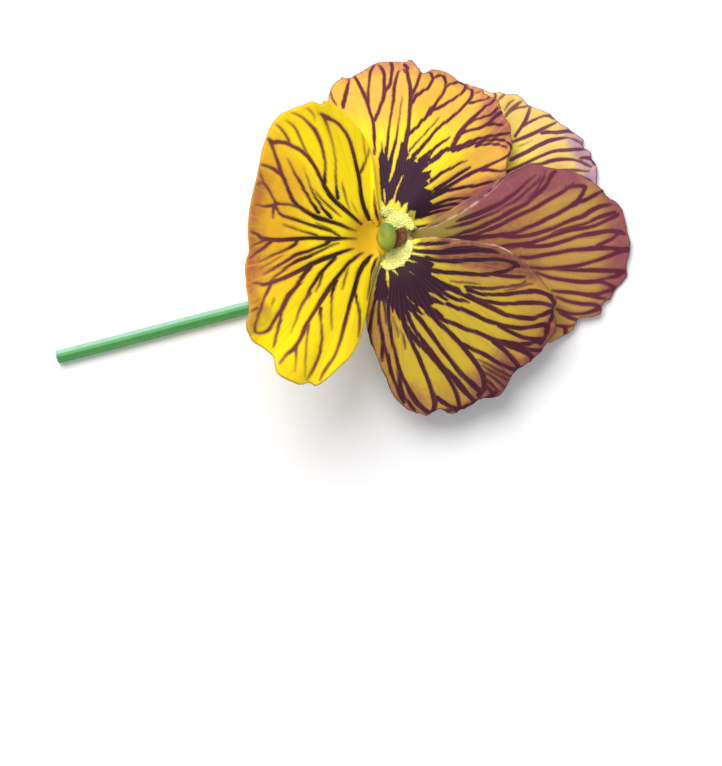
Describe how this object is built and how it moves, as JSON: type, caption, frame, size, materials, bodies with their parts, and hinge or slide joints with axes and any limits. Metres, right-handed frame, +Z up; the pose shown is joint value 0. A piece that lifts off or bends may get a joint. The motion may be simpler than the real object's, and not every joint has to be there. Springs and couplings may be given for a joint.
{
  "type": "picked viola flower",
  "caption": "Picked viola flower with its cut stem, lying face up: overlapping waved petals striped with dark veins, a bearded throat, spur, sepals and a crooked angular stem.",
  "frame": {"origin": "under the middle of the whole piece, on the surface that it lies on", "axes": "+X from the cut end of the stem towards the top petals, +Z up, away from the surface"},
  "size_m": [0.0643, 0.0383, 0.0183],
  "materials": {
    "petal_lower": "velvety petal, bright yellow with dark veins",
    "petal_side_upper": "velvety petal, yellow to orange with a dark blotch",
    "petal_side_lower": "velvety petal, yellow to bronze with a dark blotch",
    "petal_top_front": "velvety petal, bronze with dark veins",
    "petal_top_back": "velvety petal, pale yellow with dark veins",
    "calyx": "satin green leaf",
    "pistil": "moist green",
    "stamens": "dry rust brown",
    "stem": "satin green"
  },
  "bodies": {
    "root": {"petal_lower": "petal_lower", "petal_side_upper": "petal_side_upper", "petal_side_lower": "petal_side_lower", "petal_top_front": "petal_top_front", "petal_top_back": "petal_top_back", "calyx": "calyx", "pistil": "pistil", "stamens": "stamens", "stem": "stem"}
  },
  "joints": []
}
